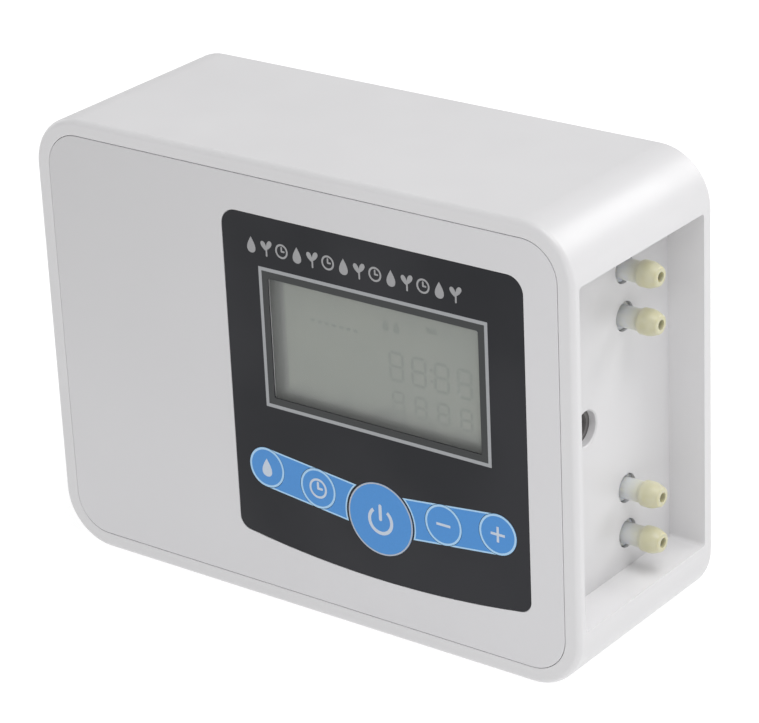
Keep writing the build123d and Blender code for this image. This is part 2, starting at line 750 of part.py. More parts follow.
def wobble_plate():
    """A hub over the crank pin with three arms, one for each diaphragm cup."""
    arms = Circle(3.1)
    for y, z in ring_points(3, CUP_RING):
        arms += Pos(y, z) * Circle(2.6)
        angle = math.degrees(math.atan2(z, y))
        arms += Rot(0, 0, angle) * Pos(CUP_RING / 2, 0) * Rectangle(CUP_RING, 3.6)
    for y, z in ring_points(3, CUP_RING):
        arms -= Pos(y, z) * Circle(1.6)
    plate = bar(arms, *ARM_X) + rod(3.1, ARM_X[0], 47.4)
    return plate - rod(2.2, ARM_X[0] - 1, 46.9)


def diaphragm():
    """A rubber sheet with three cups, each with a nub that an arm pulls."""
    sheet = square_bar(PUMP_SIDE - 0.4, PUMP_CORNER_R, DIAPHRAGM_BACK, VALVE_BACK)
    for y, z in ring_points(3, CUP_RING):
        cup = rod(CUP_RADIUS, CUP_BOTTOM, DIAPHRAGM_BACK, y, z)
        sheet += fillet(cup.edges().group_by(Axis.X)[0], 1.2)
        sheet += rod(0.8, 44.0, CUP_BOTTOM, y, z)
    for y, z in ring_points(3, CUP_RING):
        sheet -= rod(CUP_RADIUS - 0.7, CUP_BOTTOM + 0.9, VALVE_BACK + 1, y, z)
    for y, z in corner_offsets(PUMP_SCREW_OFFSET):
        sheet -= rod(PUMP_SCREW_HOLE_R, DIAPHRAGM_BACK - 1, VALVE_BACK + 1, y, z)
    return sheet


def valve_plate():
    plate = square_bar(PUMP_SIDE - 0.2, PUMP_CORNER_R, VALVE_BACK, HEAD_BACK)
    for y, z in ring_points(3, CUP_RING):
        plate -= rod(0.8, VALVE_BACK - 1, HEAD_BACK + 1, y * 0.75, z * 0.75)
        plate -= rod(0.8, VALVE_BACK - 1, HEAD_BACK + 1, y * 1.3, z * 1.3)
    for y, z in corner_offsets(PUMP_SCREW_OFFSET):
        plate -= rod(PUMP_SCREW_HOLE_R, VALVE_BACK - 1, HEAD_BACK + 1, y, z)
    return plate


def nozzle():
    """A barbed hose nozzle about X: collar, neck, flare, short land and tapering tip."""
    root_x = HEAD_FACE - 0.5
    collar_x = BAY_FLOOR - 0.8
    neck_x = BARB_X[0] - 1.5
    tip_x = NOZZLE_END - 0.5
    flat_r = NOZZLE_TIP_R - 0.6
    collar = [(root_x, 0), (root_x, NOZZLE_COLLAR_R), (collar_x, NOZZLE_COLLAR_R)]
    edge = Polyline(*collar, (collar_x, NOZZLE_NECK_R), (neck_x, NOZZLE_NECK_R))
    flare = [(neck_x, NOZZLE_NECK_R), (BARB_X[0], NOZZLE_BARB_R)]
    edge += Spline(*flare, tangents=[(1, 0), (1, 0)])
    edge += Line((BARB_X[0], NOZZLE_BARB_R), (BARB_X[1], NOZZLE_BARB_R))
    taper = [(BARB_X[1], NOZZLE_BARB_R), (tip_x, NOZZLE_TIP_R)]
    edge += Spline(*taper, tangents=[(1, 0), (1, -0.4)])
    middle = (NOZZLE_END - 0.1, NOZZLE_TIP_R - 0.25)
    edge += ThreePointArc((tip_x, NOZZLE_TIP_R), middle, (NOZZLE_END, flat_r))
    edge += Polyline((NOZZLE_END, flat_r), (NOZZLE_END, 0), (root_x, 0))
    return revolve(Plane.XZ * make_face(edge), Axis.X, 360)


def pump_head():
    """The head block with an inlet and an outlet chamber, each with its own nozzle."""
    head = square_bar(PUMP_SIDE, PUMP_CORNER_R, HEAD_BACK, HEAD_FACE)
    head = fillet(head.edges().group_by(Axis.X)[-1], 0.5)
    chambers = Circle(10.4) - Rectangle(24.0, 1.6)
    head -= bar(chambers, HEAD_BACK - 1, HEAD_BACK + 4)
    for side in (-1, 1):
        head += Pos(0, 0, side * NOZZLE_PITCH / 2) * nozzle()
    for side in (-1, 1):
        head -= rod(NOZZLE_BORE_R, HEAD_BACK + 3, RIGHT + 1, 0, side * NOZZLE_PITCH / 2)
    for y, z in corner_offsets(PUMP_SCREW_OFFSET):
        head -= rod(PUMP_SCREW_HOLE_R, HEAD_BACK - 1, HEAD_FACE + 1, y, z)
        head -= rod(2.0, HEAD_FACE - 1.8, HEAD_FACE + 1, y, z)
    return head


def pump_screws():
    """Four long screws through each head, and two short ones into each motor's face."""
    screws = []
    for y, z in corner_offsets(PUMP_SCREW_OFFSET):
        seat = HEAD_FACE - 1.8
        long = rod(PUMP_SCREW_R, 42.2, seat, y, z)
        screws.append(long + rod(1.8, seat, seat + 1.5, y, z))
    for side in (-1, 1):
        short = rod(0.95, MOTOR_FACE - 0.9, CAVITY_X, 0, side * FACE_SCREW_OFFSET)
        screws.append(short + rod(1.7, CAVITY_X, CAVITY_X + 1.0, 0, side * FACE_SCREW_OFFSET))
    return screws


# ---------------------------------------------------------------- pump mounting


def motor_cushion():
    """A rubber sleeve between the motor, its saddle and its strap."""
    return bar(Circle(STRAP_R[0] - 0.03) - Circle(CAN_R + 0.03), STRAP_X[0] - 1, STRAP_X[1] + 1)


def motor_strap():
    """A band over the motor with an ear at each end."""
    inner, outer = STRAP_R
    band = (Circle(outer) - Circle(inner)) & Pos(-outer, 0) * Rectangle(2 * outer, 2 * outer)
    ear_tip = STRAP_SCREW_RISE + 3.4
    front = EAR_FRONT - PUMP_Y
    back = EAR_BACK - PUMP_Y
    for side in (-1, 1):
        leg_z = side * (inner + outer) / 2
        band += Pos(back / 2, leg_z) * Rectangle(back, outer - inner)
        ear_z = side * (inner + ear_tip) / 2
        band += Pos((front + back) / 2, ear_z) * Rectangle(back - front, ear_tip - inner)
    strap = bar(band, *STRAP_X)
    middle_x = sum(STRAP_X) / 2
    for side in (-1, 1):
        strap -= disc(1.4, front - 1, back + 1, middle_x, side * STRAP_SCREW_RISE)
    return strap


def strap_screws():
    middle_x = sum(STRAP_X) / 2
    screws = []
    for _, z in PUMPS:
        for side in (-1, 1):
            screw_z = z + side * STRAP_SCREW_RISE
            screw = disc(2.3, EAR_FRONT - 1.6, EAR_FRONT, middle_x, screw_z)
            screw = fillet(screw.edges().group_by(Axis.Y)[0], 0.5)
            screws.append(screw + disc(1.15, EAR_FRONT, EAR_FRONT + 10, middle_x, screw_z))
    return screws


# ---------------------------------------------------------------- assembly


def pump_nodes(name, z):
    single = {
        "motor_can": motor_can(),
        "motor_end_cap": motor_end_cap(),
        "motor_shaft": motor_shaft(),
        "eccentric": eccentric(),
        "pump_frame": pump_frame(),
        "wobble_plate": wobble_plate(),
        "diaphragm": diaphragm(),
        "valve_plate": valve_plate(),
        "pump_head": pump_head(),
    }
    nodes = {f"{name}_{part}": [at_pump(shape, z)] for part, shape in single.items()}
    nodes[f"{name}_armature"] = [at_pump(piece, z) for piece in armature()]
    return nodes


def at_each_pump(pieces):
    return [at_pump(piece, z) for _, z in PUMPS for piece in pieces]


def all_nodes():
    nodes = {
        "housing": [housing()],
        "front_cover": [front_cover()],
        "graphic_overlay": [graphic_overlay()],
        "display_window": [display_window()],
        "case_screws": case_screws(),
        "display_frame": [display_frame()],
        "lcd_glass": [lcd_glass()],
        "backlight_panel": [backlight_panel()],
        "zebra_strips": zebra_strips(),
        "control_board": [control_board()],
        "board_screws": board_screws(),
        "tact_switches": [tact_switch(x, z) for _, x, z, _ in KEYS],
        "microcontroller": [microcontroller()],
        "clock_crystal": [clock_crystal()],
        "buzzer": [buzzer()],
        "smoothing_capacitors": smoothing_capacitors(),
        "cell_holder": [cell_holder()],
        "backup_cell": [backup_cell()],
        "power_parts": [voltage_regulator()] + pump_drivers(),
        "chip_parts": chip_parts(),
        "dc_jack": dc_jack(),
        "lead_connectors": lead_connectors(),
        "pump_leads": pump_leads(),
        "motor_magnets": [arc for _, z in PUMPS for arc in motor_magnets(z)],
        "motor_brushes": at_each_pump(motor_brushes()),
        "motor_bushings": at_each_pump(motor_bushings()),
        "pump_screws": at_each_pump(pump_screws()),
        "motor_cushions": at_each_pump([motor_cushion()]),
        "motor_straps": at_each_pump([motor_strap()]),
        "strap_screws": strap_screws(),
    }
    for key, x, z, radius in KEYS:
        nodes[f"{key}_key"] = [key_cap(x, z, radius)]
        nodes[f"{key}_switch_plunger"] = [switch_plunger(x, z)]
    for name, z in PUMPS:
        nodes.update(pump_nodes(name, z))
    return nodes


def save(nodes):
    os.makedirs("parts", exist_ok=True)
    for name, pieces in nodes.items():
        solids = [solid for piece in pieces for solid in piece.solids()]
        shape = solids[0] if len(solids) == 1 else Compound(children=solids)
        export_step(shape, f"parts/{name}.step")


save(all_nodes())
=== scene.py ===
import json
import math

import bpy
from mathutils import Matrix, Vector


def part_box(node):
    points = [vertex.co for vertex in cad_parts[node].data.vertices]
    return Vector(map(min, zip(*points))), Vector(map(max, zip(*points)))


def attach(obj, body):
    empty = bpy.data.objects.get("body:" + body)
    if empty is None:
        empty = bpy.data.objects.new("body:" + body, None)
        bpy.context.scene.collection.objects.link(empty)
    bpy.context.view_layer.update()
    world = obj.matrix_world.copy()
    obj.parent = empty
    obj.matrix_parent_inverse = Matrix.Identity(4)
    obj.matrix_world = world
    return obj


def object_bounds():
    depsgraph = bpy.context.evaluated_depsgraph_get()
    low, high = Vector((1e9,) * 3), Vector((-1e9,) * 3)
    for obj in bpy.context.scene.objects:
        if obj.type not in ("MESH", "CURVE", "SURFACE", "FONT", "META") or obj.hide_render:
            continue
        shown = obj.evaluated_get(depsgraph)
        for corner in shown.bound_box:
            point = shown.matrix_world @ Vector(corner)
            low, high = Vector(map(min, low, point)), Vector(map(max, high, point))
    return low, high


# A drip irrigation timer: materials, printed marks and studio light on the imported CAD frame.

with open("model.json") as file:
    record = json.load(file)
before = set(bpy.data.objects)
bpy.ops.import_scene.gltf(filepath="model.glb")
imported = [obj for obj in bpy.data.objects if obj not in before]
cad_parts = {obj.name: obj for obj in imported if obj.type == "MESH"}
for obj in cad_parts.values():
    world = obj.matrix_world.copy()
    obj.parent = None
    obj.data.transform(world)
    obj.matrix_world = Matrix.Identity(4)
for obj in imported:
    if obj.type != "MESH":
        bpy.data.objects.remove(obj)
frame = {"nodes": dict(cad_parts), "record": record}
CAD_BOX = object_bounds()

MM = 0.001
NODES = frame["nodes"]
KEY_NAMES = ("manual", "set", "ok", "minus", "plus")
ARC_STEPS = 64


# ---------------------------------------------------------------- camera and light

# angles of the photo's viewpoint; lengths in metres, the lens and its sensor in millimetres
AZIMUTH = math.radians(37.78)
ELEVATION = math.radians(23.78)
ROLL = math.radians(-2.67)
DISTANCE = 0.75894
SLIDE_RIGHT = 0.00175
SLIDE_UP = -0.00166
LENS = 155.34
SENSOR_WIDTH = 36.0
NEAR_CLIP = 0.01


def camera_axes():
    """Right, up and backward directions of the camera."""
    back = Vector(
        (
            math.sin(AZIMUTH) * math.cos(ELEVATION),
            -math.cos(AZIMUTH) * math.cos(ELEVATION),
            math.sin(ELEVATION),
        )
    )
    level = Vector((math.cos(AZIMUTH), math.sin(AZIMUTH), 0))
    up = back.cross(level)
    right = level * math.cos(ROLL) + up * math.sin(ROLL)
    return right, back.cross(right), back


def add_camera():
    right, up, back = camera_axes()
    low, high = CAD_BOX
    aim = (low + high) / 2
    place = aim + back * DISTANCE + right * SLIDE_RIGHT + up * SLIDE_UP
    data = bpy.data.cameras.new("camera")
    data.lens = LENS
    data.sensor_width = SENSOR_WIDTH
    data.clip_start = NEAR_CLIP
    camera = bpy.data.objects.new("camera", data)
    bpy.context.scene.collection.objects.link(camera)
    turn = Matrix((right, up, back)).transposed().to_4x4()
    camera.matrix_world = Matrix.Translation(place) @ turn
    bpy.context.scene.camera = camera


def add_area_light(name, place, aim, width, height, power):
    data = bpy.data.lights.new(name, "AREA")
    data.shape = "RECTANGLE"
    data.size = width
    data.size_y = height
    data.energy = power
    light = bpy.data.objects.new(name, data)
    bpy.context.scene.collection.objects.link(light)
    light.location = place
    light.rotation_euler = (Vector(aim) - Vector(place)).to_track_quat("-Z", "Y").to_euler()


# name: place, width and height in metres, power in watts
LIGHTS = {
    "right_softbox": ((0.49, -0.15, 1.24), 0.8, 0.8, 9.7),
    "back_softbox": ((0.50, 0.90, 0.72), 0.7, 0.5, 4.6),
    "left_softbox": ((-0.78, 0.06, 0.30), 0.5, 0.5, 1.4),
    "low_fill": ((0.26, -0.32, 0.05), 0.12, 0.12, 0.14),
}
LIGHT_AIM = (0, 0, 0.05)
SKY_STRENGTH = 0.36
FLOOR_SIZE = 6.0
FLOOR_GLOW = 0.82


def add_lights():
    for name, (place, width, height, power) in LIGHTS.items():
        add_area_light(name, place, LIGHT_AIM, width, height, power)
    world = bpy.data.worlds.new("studio")
    bpy.context.scene.world = world
    world.use_nodes = True
    background = world.node_tree.nodes["Background"]
    background.inputs["Color"].default_value = (1.0, 1.0, 1.0, 1.0)
    background.inputs["Strength"].default_value = SKY_STRENGTH


def add_floor():
    bpy.ops.mesh.primitive_plane_add(size=FLOOR_SIZE, location=(0, 0, CAD_BOX[0].z))
    floor = bpy.context.object
    floor.name = "floor"
    material = bpy.data.materials.new("pale_floor")
    material.use_nodes = True
    shader = material.node_tree.nodes["Principled BSDF"]
    shader.inputs["Base Color"].default_value = (0.30, 0.30, 0.30, 1)
    shader.inputs["Roughness"].default_value = 0.9
    shader.inputs["Specular IOR Level"].default_value = 0.1
    shader.inputs["Emission Color"].default_value = (1, 1, 1, 1)
    shader.inputs["Emission Strength"].default_value = FLOOR_GLOW
    floor.data.materials.append(material)


# ---------------------------------------------------------------- materials


class Recipe:
    """A material with its Principled shader, and short ways to add nodes to it."""

    def __init__(self, name, colour, rough, metal=0.0, spec=0.5):
        self.material = bpy.data.materials.new(name)
        self.material.use_nodes = True
        self.tree = self.material.node_tree
        self.shader = self.tree.nodes["Principled BSDF"]
        self.put("Base Color", (*colour, 1))
        self.put("Roughness", rough)
        self.put("Metallic", metal)
        self.put("Specular IOR Level", spec)
        self.colour = colour
        self.rough = rough

    def put(self, socket, value):
        self.shader.inputs[socket].default_value = value

    def node(self, kind, **inputs):
        made = self.tree.nodes.new(kind)
        for socket, value in inputs.items():
            made.inputs[socket.replace("_", " ")].default_value = value
        return made

    def link(self, source, target):
        self.tree.links.new(source, target)

    def place(self):
        if not hasattr(self, "coordinates"):
            self.coordinates = self.node("ShaderNodeTexCoord").outputs["Object"]
        return self.coordinates

    def noise(self, size_mm, detail=3.0, rough=0.55, stretch=(1, 1, 1)):
        """Noise with features about this many millimetres across."""
        mapping = self.node("ShaderNodeMapping", Scale=stretch)
        self.link(self.place(), mapping.inputs["Vector"])
        scale = 1.0 / (size_mm * MM)
        noise = self.node("ShaderNodeTexNoise", Scale=scale, Detail=detail, Roughness=rough)
        self.link(mapping.outputs["Vector"], noise.inputs["Vector"])
        return noise.outputs["Fac"]

    def ramp(self, source, low, high, from_min=0.3, from_max=0.7, smooth=False):
        """A source re-ranged to run from low to high."""
        ranged = self.node("ShaderNodeMapRange")
        ranged.interpolation_type = "SMOOTHSTEP" if smooth else "LINEAR"
        ranged.inputs["From Min"].default_value = from_min
        ranged.inputs["From Max"].default_value = from_max
        ranged.inputs["To Min"].default_value = low
        ranged.inputs["To Max"].default_value = high
        self.link(source, ranged.inputs["Value"])
        return ranged.outputs["Result"]

    def mix(self, fac, colour_a, colour_b):
        mix = self.node("ShaderNodeMix")
        mix.data_type = "RGBA"
        self.link(fac, mix.inputs["Factor"])
        for socket, colour in ((mix.inputs[6], colour_a), (mix.inputs[7], colour_b)):
            if isinstance(colour, tuple):
                socket.default_value = (*colour, 1)
            else:
                self.link(colour, socket)
        return mix.outputs[2]

    def axis(self, letter):
        """One coordinate of the point being shaded, in metres."""
        split = self.node("ShaderNodeSeparateXYZ")
        self.link(self.place(), split.inputs["Vector"])
        return split.outputs[letter]

    def combine(self, operation, one, other):
        """Two sources, or a source and a number, put through a Math node."""
        step = self.node("ShaderNodeMath")
        step.operation = operation
        for socket, value in zip(step.inputs, (one, other)):
            if isinstance(value, float):
                socket.default_value = value
            else:
                self.link(value, socket)
        return step.outputs[0]

    def vary_colour(self, source, amount):
        """Base colour runs from a little darker to a little lighter."""
        dark = tuple(c * (1 - amount) for c in self.colour)
        light = tuple(min(1.0, c * (1 + amount)) for c in self.colour)
        fac = self.ramp(source, 0.0, 1.0)
        self.link(self.mix(fac, dark, light), self.shader.inputs["Base Color"])

    def vary_rough(self, source, amount):
        low = max(0.02, self.rough - amount)
        high = min(1.0, self.rough + amount)
        self.link(self.ramp(source, low, high), self.shader.inputs["Roughness"])

    def bump(self, source, depth_mm, strength=0.5):
        bump = self.node("ShaderNodeBump", Strength=strength, Distance=depth_mm * MM)
        self.link(source, bump.inputs["Height"])
        if self.shader.inputs["Normal"].is_linked:
            earlier = self.shader.inputs["Normal"].links[0].from_socket
            self.link(earlier, bump.inputs["Normal"])
        self.link(bump.outputs["Normal"], self.shader.inputs["Normal"])


def moulded_plastic(name, colour, rough=0.38, grain_mm=0.35, grain_depth=0.006, spec=0.5):
    """Injection-moulded plastic: fine spark-eroded grain, slow flow waves, faint mottling."""
    recipe = Recipe(name, colour, rough, spec=spec)
    recipe.vary_colour(recipe.noise(38.0, detail=2.0), 0.012)
    recipe.vary_rough(recipe.noise(9.0, detail=5.0), 0.05)
    recipe.bump(recipe.noise(grain_mm, detail=2.0), grain_depth, 0.35)
    recipe.bump(recipe.noise(24.0, detail=1.0), 0.06, 0.25)
    return recipe


def cover_plastic():
    """The front cover's plastic, with painted shade: a greyer tone towards its upper left corner."""
    recipe = moulded_plastic("cover_plastic", (0.68, 0.675, 0.69), rough=0.34)
    # painted shade: a mask rising with height and with nearness to the left side mixes the colour
    # towards a darker grey
    low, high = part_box("front_cover")
    rise = recipe.ramp(recipe.axis("Z"), 0.0, 1.0, low.z, high.z, smooth=True)
    left = recipe.ramp(recipe.axis("X"), 1.0, 0.0, low.x, high.x)
    shade = recipe.combine("MULTIPLY", rise, left)
    socket = recipe.shader.inputs["Base Color"]
    plain = socket.links[0].from_socket
    recipe.link(recipe.mix(shade, plain, (0.615, 0.61, 0.62)), socket)
    return recipe


def brushed_metal(name, colour, rough=0.32, stretch=(1, 1, 1)):
    recipe = Recipe(name, colour, rough, metal=1.0)
    streaks = recipe.noise(0.6, detail=4.0, stretch=stretch)
    recipe.vary_colour(recipe.noise(4.0), 0.05)
    recipe.vary_rough(streaks, 0.08)
    recipe.bump(streaks, 0.004, 0.4)
    return recipe


def rubber(name, colour, rough=0.72):
    recipe = Recipe(name, colour, rough, spec=0.3)
    recipe.vary_colour(recipe.noise(2.5), 0.18)
    recipe.bump(recipe.noise(0.5), 0.02, 0.4)
    return recipe


def printed_ink(name, colour, rough=0.33):
    """Screen-printed ink under a satin film."""
    recipe = Recipe(name, colour, rough, spec=0.5)
    recipe.vary_colour(recipe.noise(0.5, detail=4.0), 0.03)
    recipe.vary_rough(recipe.noise(5.0), 0.04)
    recipe.bump(recipe.noise(0.25), 0.002, 0.3)
    return recipe


def overlay_film():
    """Black polyester film with a fine satin texture and slow ripples."""
    recipe = Recipe("overlay_film", (0.0115, 0.012, 0.0165), 0.36, spec=0.26)
    patches = recipe.ramp(recipe.noise(34.0, detail=1.0), 0.0, 1.0, smooth=True)
    tone = recipe.mix(patches, (0.0070, 0.0078, 0.0115), (0.0175, 0.0180, 0.0225))
    recipe.link(tone, recipe.shader.inputs["Base Color"])
    recipe.vary_rough(recipe.noise(7.0, detail=4.0), 0.05)
    recipe.bump(recipe.noise(0.18, detail=2.0), 0.003, 0.35)
    recipe.bump(recipe.noise(22.0, detail=1.0), 0.05, 0.3)
    return recipe


def display_glass():
    """Reflective display: grey-green and cloudy, with painted shade along its left and lower sides."""
    recipe = Recipe("display_glass", (0.255, 0.275, 0.245), 0.22, spec=0.5)
    left, _, bottom, _ = view_window()
    cloud = recipe.ramp(recipe.noise(16.0, detail=3.0), 0.0, 1.0)
    plain = recipe.mix(cloud, (0.242, 0.262, 0.236), (0.262, 0.280, 0.246))
    # painted shade: soft dark bands inside the opening's left side and bottom, where its edges would
    # cast shadow; the bottom band's edge wavers
    side = recipe.ramp(recipe.axis("X"), 0.62, 0.0, left + 1.9 * MM, left + 3.6 * MM, smooth=True)
    shade_waver = recipe.ramp(recipe.noise(9.0), -1.2 * MM, 1.2 * MM)
    height = recipe.combine("ADD", recipe.axis("Z"), shade_waver)
    foot = recipe.ramp(height, 0.60, 0.0, bottom - 0.6 * MM, bottom + 5.2 * MM, smooth=True)
    shade = recipe.combine("MAXIMUM", side, foot)
    recipe.link(recipe.mix(shade, plain, (0.118, 0.122, 0.127)), recipe.shader.inputs["Base Color"])
    recipe.vary_rough(recipe.noise(3.0), 0.04)
    recipe.bump(recipe.noise(0.12), 0.001, 0.3)
    return recipe


def clear_lens():
    recipe = Recipe("clear_lens", (0.80, 0.82, 0.80), 0.06, spec=0.5)
    recipe.put("Alpha", 0.06)
    recipe.vary_rough(recipe.noise(6.0), 0.02)
    recipe.bump(recipe.noise(30.0, detail=1.0), 0.02, 0.2)
    return recipe


def nozzle_plastic():
    """Unpigmented plastic, greyish where it is thick at the neck and yellower at the tip."""
    recipe = Recipe("nozzle_plastic", (0.70, 0.68, 0.45), 0.34, spec=0.5)
    recipe.put("Subsurface Weight", 0.35)
    recipe.put("Subsurface Radius", (1.0, 0.85, 0.45))
    recipe.put("Subsurface Scale", 0.0015)
    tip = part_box("upper_pump_head")[1].x
    along = recipe.ramp(recipe.axis("X"), 0.0, 1.0, tip - 8.5 * MM, tip - 3.0 * MM, smooth=True)
    aged = recipe.mix(along, (0.60, 0.62, 0.64), (0.57, 0.55, 0.37))
    mottled = recipe.mix(recipe.ramp(recipe.noise(1.6), 0.0, 0.35), aged, (0.61, 0.60, 0.50))
    recipe.link(mottled, recipe.shader.inputs["Base Color"])
    recipe.bump(recipe.noise(0.6), 0.01, 0.4)
    return recipe


def solder_mask():
    recipe = Recipe("solder_mask", (0.012, 0.13, 0.045), 0.30)
    tracks = recipe.noise(0.8, detail=0.0, stretch=(1, 1, 0.35))
    recipe.vary_colour(tracks, 0.16)
    recipe.bump(tracks, 0.03, 0.5)
    return recipe


def copper_wire():
    recipe = Recipe("armature_copper", (0.60, 0.22, 0.08), 0.30, metal=1.0)
    wave = recipe.node("ShaderNodeTexWave", Scale=2200.0, Distortion=1.0)
    recipe.link(recipe.place(), wave.inputs["Vector"])
    recipe.vary_colour(wave.outputs["Fac"], 0.25)
    recipe.bump(wave.outputs["Fac"], 0.08, 0.8)
    return recipe


def node_materials():
    """The material of each CAD node, by the record's slot names."""
    white = (0.70, 0.695, 0.705)
    steel = (0.62, 0.62, 0.63)
    black = (0.022, 0.022, 0.024)
    natural = (0.72, 0.70, 0.62)
    recipes = {
        "case_plastic": moulded_plastic("case_plastic", white),
        "cover_plastic": cover_plastic(),
        "overlay_film": overlay_film(),
        "key_blue": printed_ink("key_blue", (0.046, 0.255, 0.64)),
        "switch_plastic": moulded_plastic("switch_plastic", black, rough=0.5),
        "clear_lens": clear_lens(),
        "lcd": display_glass(),
        "frame_plastic": moulded_plastic("frame_plastic", black, rough=0.55),
        "light_guide": moulded_plastic("light_guide", (0.75, 0.78, 0.75), rough=0.25),
        "zebra_rubber": rubber("zebra_rubber", (0.30, 0.12, 0.14)),
        "board_green": solder_mask(),
        "screw_steel": brushed_metal("screw_steel", steel),
        "chip_black": moulded_plastic("chip_black", black, rough=0.6, grain_mm=0.2),
        "crystal_metal": brushed_metal("crystal_metal", (0.70, 0.70, 0.70)),
        "buzzer_black": moulded_plastic("buzzer_black", black, rough=0.45),
        "capacitor_sleeve": moulded_plastic("capacitor_sleeve", (0.03, 0.04, 0.09), rough=0.3),
        "holder_black": moulded_plastic("holder_black", black, rough=0.5),
        "cell_steel": brushed_metal("cell_steel", (0.70, 0.69, 0.66)),
        "chip_ceramic": moulded_plastic("chip_ceramic", (0.25, 0.17, 0.10), rough=0.4),
        "jack_black": moulded_plastic("jack_black", (0.22, 0.21, 0.21), rough=0.5),
        "connector_white": moulded_plastic("connector_white", natural, rough=0.4),
        "wire_insulation": rubber("wire_insulation", (0.45, 0.02, 0.02), rough=0.45),
        "magnet_ferrite": rubber("magnet_ferrite", (0.05, 0.05, 0.055), rough=0.6),
        "brush_copper": brushed_metal("brush_copper", (0.65, 0.33, 0.18)),
        "bearing_bronze": brushed_metal("bearing_bronze", (0.50, 0.34, 0.14)),
        "cushion_rubber": rubber("cushion_rubber", (0.02, 0.02, 0.02)),
        "strap_steel": brushed_metal("strap_steel", steel),
        "can_steel": brushed_metal("can_steel", steel, stretch=(0.15, 1, 1)),
        "motor_plastic": moulded_plastic("motor_plastic", natural, rough=0.45),
        "shaft_steel": brushed_metal("shaft_steel", (0.68, 0.68, 0.69), rough=0.2),
        "armature_copper": copper_wire(),
        "cam_plastic": moulded_plastic("cam_plastic", natural, rough=0.42),
        "pump_plastic": moulded_plastic("pump_plastic", natural, rough=0.4),
        "diaphragm_rubber": rubber("diaphragm_rubber", (0.04, 0.04, 0.04)),
        "nozzle_plastic": nozzle_plastic(),
        "print_white": printed_ink("print_white", (0.345, 0.355, 0.37)),
        "print_title": printed_ink("print_title", (0.33, 0.33, 0.34)),
        "print_border": printed_ink("print_border", (0.018, 0.021, 0.022)),
        "print_pale": printed_ink("print_pale", (0.55, 0.62, 0.72)),
        "print_light_blue": printed_ink("print_light_blue", (0.38, 0.62, 0.86)),
        "print_grey_blue": printed_ink("print_grey_blue", (0.42, 0.47, 0.55)),
        "segment_ghost": printed_ink("segment_ghost", (0.215, 0.235, 0.212), rough=0.24),
    }
    return {slot: recipe.material for slot, recipe in recipes.items()}


def dress_nodes(materials):
    for row in frame["record"]["subparts"]:
        mesh = NODES[row["node"]].data
        mesh.materials.clear()
        mesh.materials.append(materials[row["material_slot"]])


# ---------------------------------------------------------------- flat shapes, in (x, z) metres


def arc(x, z, radius, start, end, steps=ARC_STEPS):
    """Points along an arc, with angles in degrees."""
    angles = [math.radians(start + (end - start) * i / steps) for i in range(steps + 1)]
    return [(x + radius * math.cos(a), z + radius * math.sin(a)) for a in angles]


def circle(x, z, radius):
    return arc(x, z, radius, 0, 360)[:-1]


def ring(x, z, outer, inner):
    return [circle(x, z, outer), circle(x, z, inner)]


def rectangle(x0, x1, z0, z1):
    return [(x0, z0), (x1, z0), (x1, z1), (x0, z1)]


def pill(x0, z0, x1, z1, width):
    """A straight stroke with round ends."""
    angle = math.degrees(math.atan2(z1 - z0, x1 - x0))
    half = width / 2
    far_end = arc(x1, z1, half, angle - 90, angle + 90, 12)
    return far_end + arc(x0, z0, half, angle + 90, angle + 270, 12)


def arc_stroke(x, z, radius, width, start, end):
    outer = arc(x, z, radius + width / 2, start, end, 40)
    return outer + arc(x, z, radius - width / 2, end, start, 40)


def drop(x, z, size):
    """A teardrop, point upwards, as tall as size."""
    points = []
    for i in range(ARC_STEPS):
        t = 2 * math.pi * i / ARC_STEPS
        across = 0.42 * size * math.sin(t) * abs(math.sin(t / 2)) ** 1.3
        points.append((x + across, z + 0.5 * size * math.cos(t)))
    return points


def leaf(x, z, size, angle):
    """A pointed leaf that grows from (x, z) at this angle."""
    a = math.radians(angle)
    points = []
    for i in range(32):
        t = 2 * math.pi * i / 32
        along = 0.5 * size * (1 - math.cos(t))
        across = 0.24 * size * math.sin(t) * (1 - 0.35 * math.cos(t))
        points.append(
            (
                x + along * math.cos(a) - across * math.sin(a),
                z + along * math.sin(a) + across * math.cos(a),
            )
        )
    return points


def clock_face(x, z, outer, inner, minute, hour, stroke):
    """A ring with two hands, as three pieces' loops."""
    minute_hand = pill(x, z, x, z + minute, stroke)
    hour_hand = pill(x, z, x + hour, z, stroke)
    return [ring(x, z, outer, inner), [minute_hand], [hour_hand]]


def flat_piece(name, loops, front, thick, body, material):
    """A thin closed solid with these outlines and holes, its front face at this Y."""
    curve = bpy.data.curves.new(name, "CURVE")
    curve.dimensions = "2D"
    curve.fill_mode = "BOTH"
    curve.extrude = thick / 2
    for loop in loops:
        spline = curve.splines.new("POLY")
        spline.points.add(len(loop) - 1)
        for point, (x, z) in zip(spline.points, loop):
            point.co = (x, z, 0, 1)
        spline.use_cyclic_u = True
    shape = bpy.data.objects.new(name + "_curve", curve)
    mesh = bpy.data.meshes.new_from_object(shape)
    bpy.data.objects.remove(shape)
    bpy.data.curves.remove(curve)
    upright = Matrix.Rotation(math.pi / 2, 4, "X")
    mesh.transform(Matrix.Translation((0, front + thick / 2, 0)) @ upright)
    mesh.materials.clear()
    mesh.materials.append(material)
    piece = bpy.data.objects.new(name, mesh)
    bpy.context.scene.collection.objects.link(piece)
    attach(piece, body)


# ---------------------------------------------------------------- print on the overlay and keys

